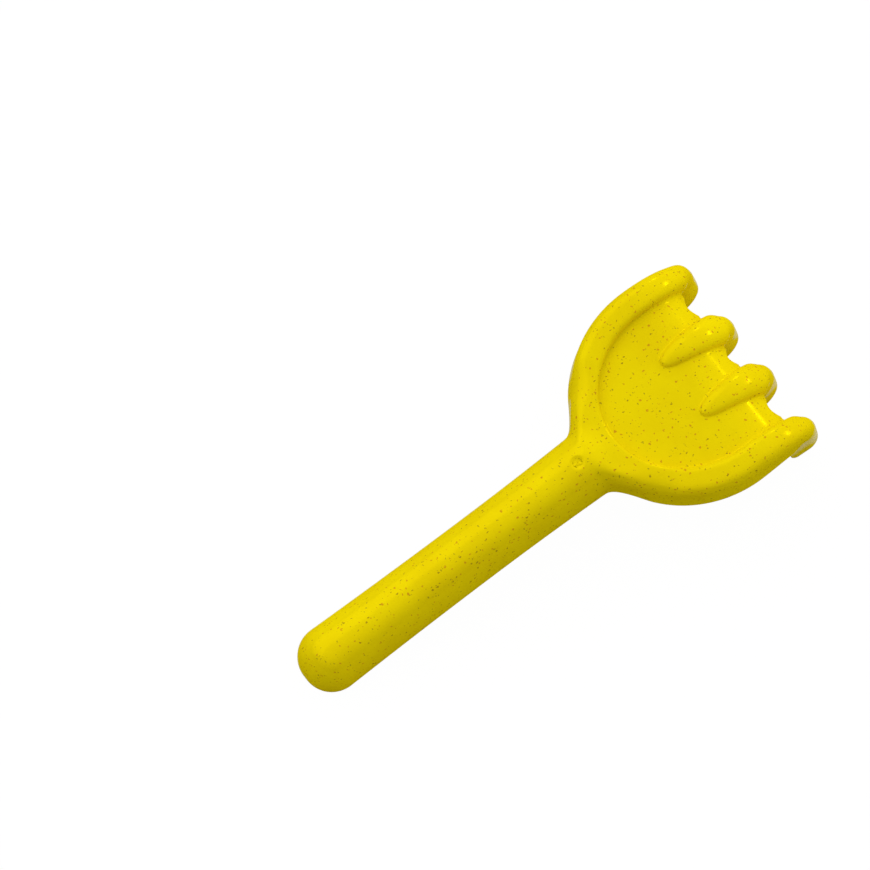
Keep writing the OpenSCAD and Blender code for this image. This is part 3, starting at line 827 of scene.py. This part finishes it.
def rib_tree():
    """Copies the rib along the grip, as wide as the grip is at each place, and lays it at rest."""
    tree = bpy.data.node_groups.new("ribs_along_grip", "GeometryNodeTree")
    face = tree.interface
    face.new_socket("Rib", in_out="INPUT", socket_type="NodeSocketGeometry")
    keys = {}
    for name, kind in (
        ("Rib count", "Int"), ("First rib", "Float"), ("Pitch", "Float"), ("Waist place", "Float"),
        ("Waist half width", "Float"), ("Butt half width", "Float"), ("Neck place", "Float"),
        ("Neck half width", "Float"), ("Rest tilt", "Float"), ("Plastic", "Material"),
    ):
        socket = face.new_socket(name, in_out="INPUT", socket_type="NodeSocket" + kind)
        keys[name] = socket.identifier
    face.new_socket("Ribs", in_out="OUTPUT", socket_type="NodeSocketGeometry")
    given = new_node(tree, "NodeGroupInput").outputs

    def calc(kind, *values):
        return math_node(tree, kind, *values)

    def vector(*values):
        return new_node(tree, "ShaderNodeCombineXYZ", dict(enumerate(values))).outputs[0]

    start, offset = vector(given["First rib"], 0, 0), vector(given["Pitch"], 0, 0)
    line = new_node(tree, "GeometryNodeMeshLine", {
        "Count": given["Rib count"], "Start Location": start, "Offset": offset,
    })
    place = new_node(tree, "GeometryNodeInputPosition").outputs[0]
    x = new_node(tree, "ShaderNodeSeparateXYZ", {0: place}).outputs["X"]
    waist, half = given["Waist place"], given["Waist half width"]
    back = calc("DIVIDE", calc("MAXIMUM", calc("SUBTRACT", waist, x), 0.0), waist)
    front = calc("MAXIMUM", calc("SUBTRACT", x, waist), 0.0)
    front = calc("DIVIDE", front, calc("SUBTRACT", given["Neck place"], waist))
    wide = half
    for share, end in ((back, given["Butt half width"]), (front, given["Neck half width"])):
        more = calc("MULTIPLY", calc("POWER", share, 2.0), calc("SUBTRACT", end, half))
        wide = calc("ADD", wide, more)
    copies = new_node(tree, "GeometryNodeInstanceOnPoints", {
        "Points": line.outputs[0], "Instance": given["Rib"],
        "Scale": vector(1.0, calc("DIVIDE", wide, half), 1.0),
    })
    real = new_node(tree, "GeometryNodeRealizeInstances", {0: copies.outputs[0]})
    laid = new_node(tree, "GeometryNodeTransform", {
        "Geometry": real.outputs[0], "Rotation": vector(0.0, given["Rest tilt"], 0.0),
    })
    skin = new_node(tree, "GeometryNodeSetMaterial", {
        "Geometry": laid.outputs[0], "Material": given["Plastic"],
    })
    new_node(tree, "NodeGroupOutput", {0: skin.outputs[0]})
    return tree, keys


def grip_ribs():
    points, faces = rib_plate()
    obj = mesh_object("cross_ribs", points, faces, plastic, smooth=False)
    tree, keys = rib_tree()
    modifier = obj.modifiers.new("ribs_along_grip", "NODES")
    modifier.node_group = tree
    for name, value in (
        ("Rib count", RIB_COUNT), ("First rib", RIB_FIRST / 1000), ("Pitch", RIB_PITCH / 1000),
        ("Waist place", WAIST_AT / 1000), ("Waist half width", (WAIST_W / 2 - RIB_INSET) / 1000),
        ("Butt half width", (BUTT_W / 2 - RIB_INSET) / 1000), ("Neck place", NECK_X / 1000),
        ("Neck half width", (NECK_W / 2 - RIB_INSET) / 1000),
        ("Rest tilt", -math.radians(REST_TILT)), ("Plastic", plastic),
    ):
        modifier[keys[name]] = value
    ready = obj.evaluated_get(bpy.context.evaluated_depsgraph_get())
    made = bpy.data.meshes.new_from_object(ready)
    obj.modifiers.clear()
    obj.data = made
    return obj


# Rough pip where the moulding was broken off its runner
def pip_base(x, y):
    """Height of the dimple's floor under a place of the pip."""
    side = abs(y) / grip_half_w(GATE_X + x)
    top = grip_top(GATE_X + x) * (1 - side**ARCH_POWER) ** (1 / ARCH_POWER)
    return top - GATE_DEPTH * float(bowl(math.hypot(x, y) / (GATE_D / 2))) + PIP_SKIN


def gate_pip():
    points = []
    for i in range(1, PIP_RINGS + 1):
        fade = (i / PIP_RINGS) ** 4
        for j in range(PIP_COLS):
            r, t = PIP_R * i / PIP_RINGS, 2 * math.pi * j / PIP_COLS
            x, y = r * math.cos(t), r * math.sin(t)
            lump = sum(
                math.exp(-((x - a) ** 2 + (y - b) ** 2) / LUMP_SPREAD) for a, b in PIP_LUMPS
            )
            base = pip_base(x, y) - PIP_EDGE_SINK * fade
            points.append((x, y, base + PIP_HEIGHT * lump * (1 - fade)))
    middle = pip_base(0, 0)
    points += [(0, 0, middle + PIP_MIDDLE_RISE), (0, 0, middle - PIP_MIDDLE_SINK)]
    top, low, last = len(points) - 2, len(points) - 1, (PIP_RINGS - 1) * PIP_COLS
    faces = []
    for j in range(PIP_COLS):
        k = (j + 1) % PIP_COLS
        faces.append([top, j, k])
        for i in range(0, last, PIP_COLS):
            faces.append([i + j, i + PIP_COLS + j, i + PIP_COLS + k, i + k])
        faces.append([low, last + k, last + j])
    return mesh_object("gate_pip", at_rest(np.array(points) + (GATE_X, 0, 0)), faces, plastic)


ribs = grip_ribs()
pip = gate_pip()
for piece, node in ((ribs, "grip_ribs"), (pip, "gate_stub")):
    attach(piece, "root")
    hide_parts(node)

# Floor, light and camera
FLOOR_HALF, FLOOR_Z = 0.6, -0.0002
FLOOR_GREY, FLOOR_GLOW, GLOW_SHARE, GLOW_IN_GLOSS = 0.58, 1.03, 0.95, 0.15
DOME_FROM, DOME_TO, DOME_LOW, DOME_HIGH, FRONT_GLOW = 0.1, 0.9, 0.03, 0.76, 1.35
PHOTO_SIZE, SENSOR_MM = 870, 36

# Lamps by name, place, aim, width and height in metres, and watts
LAMPS = (
    ("key", (-0.28, 0.88, 0.88), (0.12, 0, 0.02), 2.1, 1.5, 10.4),
    ("low_back", (0.95, 0.05, 0.43), (0.2, 0, 0.03), 0.15, 0.06, 0.5),
    ("side_back", (0.69, 0.46, 0.33), (0.14, -0.02, 0.03), 0.10, 0.06, 0.25),
)


def flat_square(name, half, z, material):
    points = np.array([(-half, -half, z), (half, -half, z), (half, half, z), (-half, half, z)])
    return mesh_object(name, points, [[0, 1, 2, 3]], material)


def white_floor():
    """White to the camera, and a plainer grey to the light that falls on it."""
    material = bpy.data.materials.new("white_floor")
    material.use_nodes = True
    tree = material.node_tree
    tree.nodes.clear()
    plain = new_node(tree, "ShaderNodeBsdfDiffuse", {"Color": (*(FLOOR_GREY,) * 3, 1)})
    glow = new_node(tree, "ShaderNodeEmission", {"Strength": FLOOR_GLOW})
    rays = new_node(tree, "ShaderNodeLightPath").outputs
    seen = math_node(
        tree, "MULTIPLY_ADD", rays["Is Glossy Ray"], GLOW_IN_GLOSS, rays["Is Camera Ray"]
    )
    both = new_node(tree, "ShaderNodeMixShader", {
        0: math_node(tree, "MULTIPLY", seen, GLOW_SHARE), 1: plain.outputs[0], 2: glow.outputs[0],
    })
    new_node(tree, "ShaderNodeOutputMaterial", {"Surface": both.outputs[0]})
    return material


def studio_world():
    """Brighter overhead and towards the tips than at the horizon, and white behind the floor."""
    world = bpy.data.worlds.new("studio")
    bpy.context.scene.world = world
    world.use_nodes = True
    tree = world.node_tree
    rays = new_node(tree, "ShaderNodeLightPath").outputs
    way = new_node(tree, "ShaderNodeTexCoord").outputs["Generated"]
    part = new_node(tree, "ShaderNodeSeparateXYZ", {"Vector": way}).outputs
    dome = ramp(tree, part["Z"], DOME_FROM, DOME_TO, DOME_LOW, DOME_HIGH)
    front = ramp(tree, part["X"], 0, 1, 0, FRONT_GLOW)
    low = math_node(tree, "SUBTRACT", 1.0, part["Z"])
    bright = math_node(tree, "MULTIPLY_ADD", front, low, dome)
    back = tree.nodes["Background"]
    wire(tree, (1, 1, 1, 1), back.inputs["Color"])
    level = math_node(tree, "MAXIMUM", rays["Is Camera Ray"], bright)
    wire(tree, level, back.inputs["Strength"])


def soft_light(name, spot, aim, wide, high, power):
    lamp = bpy.data.lights.new(name, "AREA")
    lamp.shape = "RECTANGLE"
    lamp.size, lamp.size_y, lamp.energy = wide, high, power
    obj = bpy.data.objects.new(name, lamp)
    obj.location = spot
    obj.rotation_mode = "QUATERNION"
    obj.rotation_quaternion = (Vector(aim) - Vector(spot)).to_track_quat("-Z", "Y")
    bpy.context.scene.collection.objects.link(obj)


def photo_camera():
    """Camera at the photograph's viewing angle, from its place in the tool's own frame."""
    turn, rise, roll = math.radians(37.952), math.radians(75.85), math.radians(0.428)
    cx, cy, scale, focal = 529.087, 507.256, 2.675, 4000.0
    middle, target = PHOTO_SIZE / 2, np.array((105.0, 0, 5))
    ahead = np.array((math.sin(turn), math.cos(turn), 0))
    right = np.array((math.cos(turn), -math.sin(turn), 0))
    up = ahead * math.sin(rise) + np.array((0, 0, math.cos(rise)))
    away = -ahead * math.cos(rise) + np.array((0, 0, math.sin(rise)))
    right, up = (
        right * math.cos(roll) + up * math.sin(roll),
        -right * math.sin(roll) + up * math.cos(roll),
    )
    spot = target - right * (cx - middle) / scale + up * (cy - middle) / scale
    spot += away * focal / scale
    t = math.radians(REST_TILT)
    tilt = np.array(((math.cos(t), 0, -math.sin(t)), (0, 1, 0), (math.sin(t), 0, math.cos(t))))
    camera = bpy.data.cameras.new("camera")
    camera.sensor_width = SENSOR_MM
    camera.lens = focal / PHOTO_SIZE * SENSOR_MM
    camera.clip_end = 20
    obj = bpy.data.objects.new("camera", camera)
    axes = [tilt @ v for v in (right, up, away)]
    obj.matrix_world = Matrix(
        [[*(a[k] for a in axes), (tilt @ spot)[k] / 1000] for k in range(3)] + [[0, 0, 0, 1]]
    )
    bpy.context.scene.collection.objects.link(obj)
    bpy.context.scene.camera = obj


floor = flat_square("floor", FLOOR_HALF, FLOOR_Z, white_floor())
studio_world()
for lamp in LAMPS:
    soft_light(*lamp)
photo_camera()
bpy.context.scene.view_settings.view_transform = "Standard"
